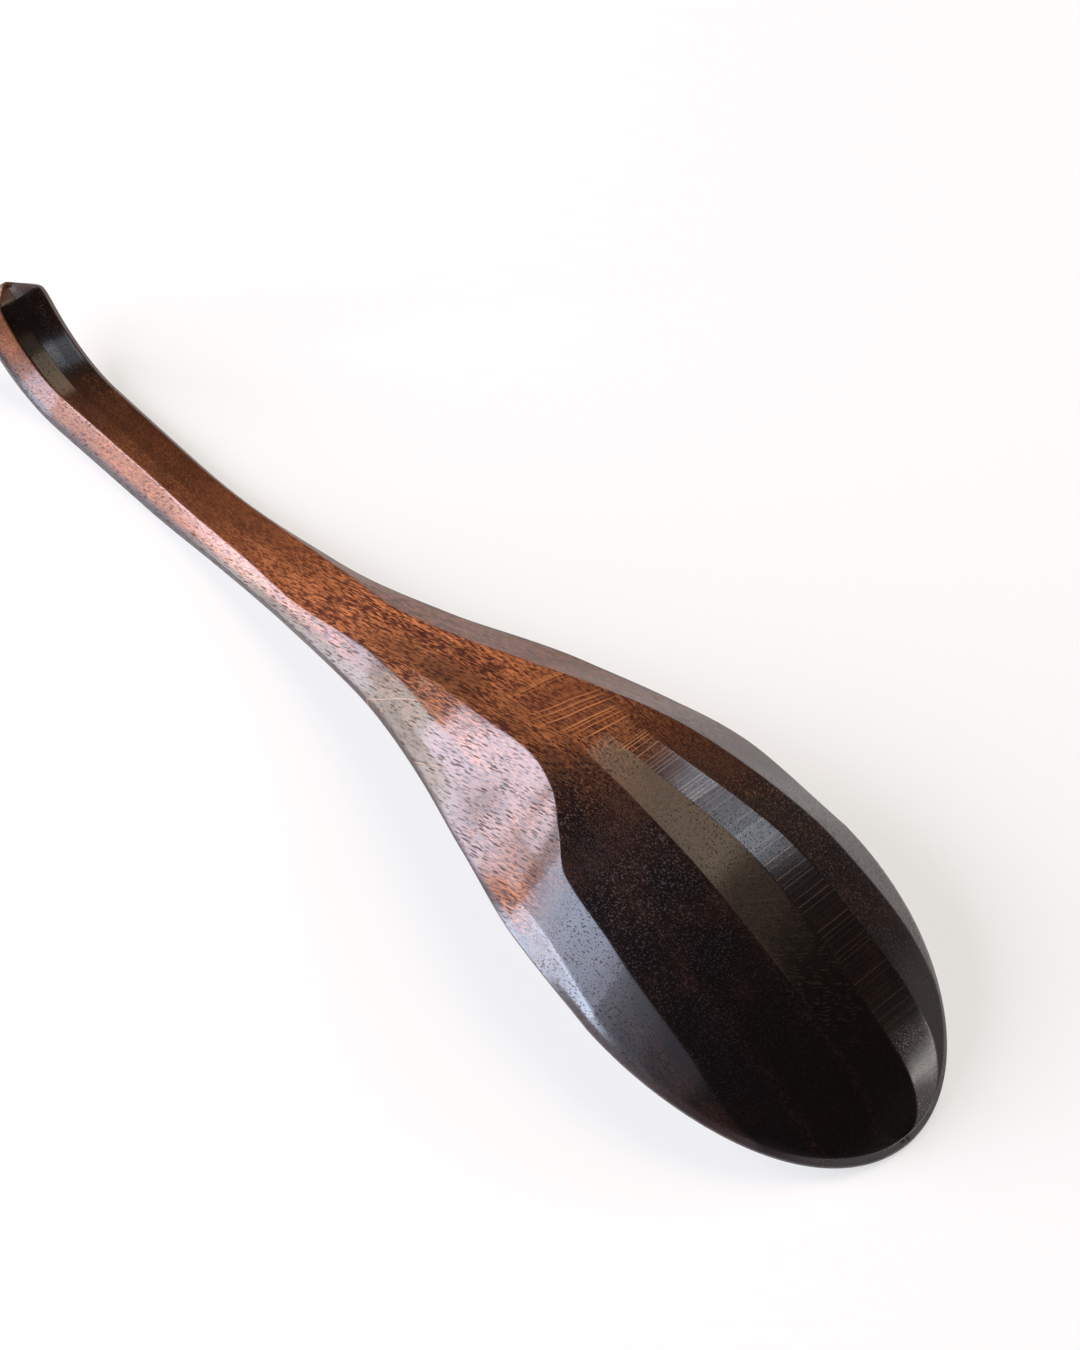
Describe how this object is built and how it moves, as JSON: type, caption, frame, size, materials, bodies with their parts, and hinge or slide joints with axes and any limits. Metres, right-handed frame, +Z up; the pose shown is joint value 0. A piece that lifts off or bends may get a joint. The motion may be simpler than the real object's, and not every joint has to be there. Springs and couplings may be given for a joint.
{
  "type": "wooden soup spoon",
  "caption": "Hand-carved wooden soup spoon with a knife-faceted back, a deep oval bowl and a slim handle that ends in a hook, lying face down.",
  "frame": {"origin": "centre of the bounding box in plan, on the table the spoon lies on", "axes": "+X from the hook to the bowl's tip, +Y across the spoon, +Z up from the table towards the convex back of the bowl; in use the spoon is turned over, so the hollow faces up"},
  "size_m": [0.1796, 0.0426, 0.0252],
  "materials": {
    "lacquered_wood": "dark red-brown wood under a thin wiped lacquer, satin, with open pores"
  },
  "bodies": {
    "root": {"carved_spoon": "lacquered_wood"}
  },
  "joints": []
}
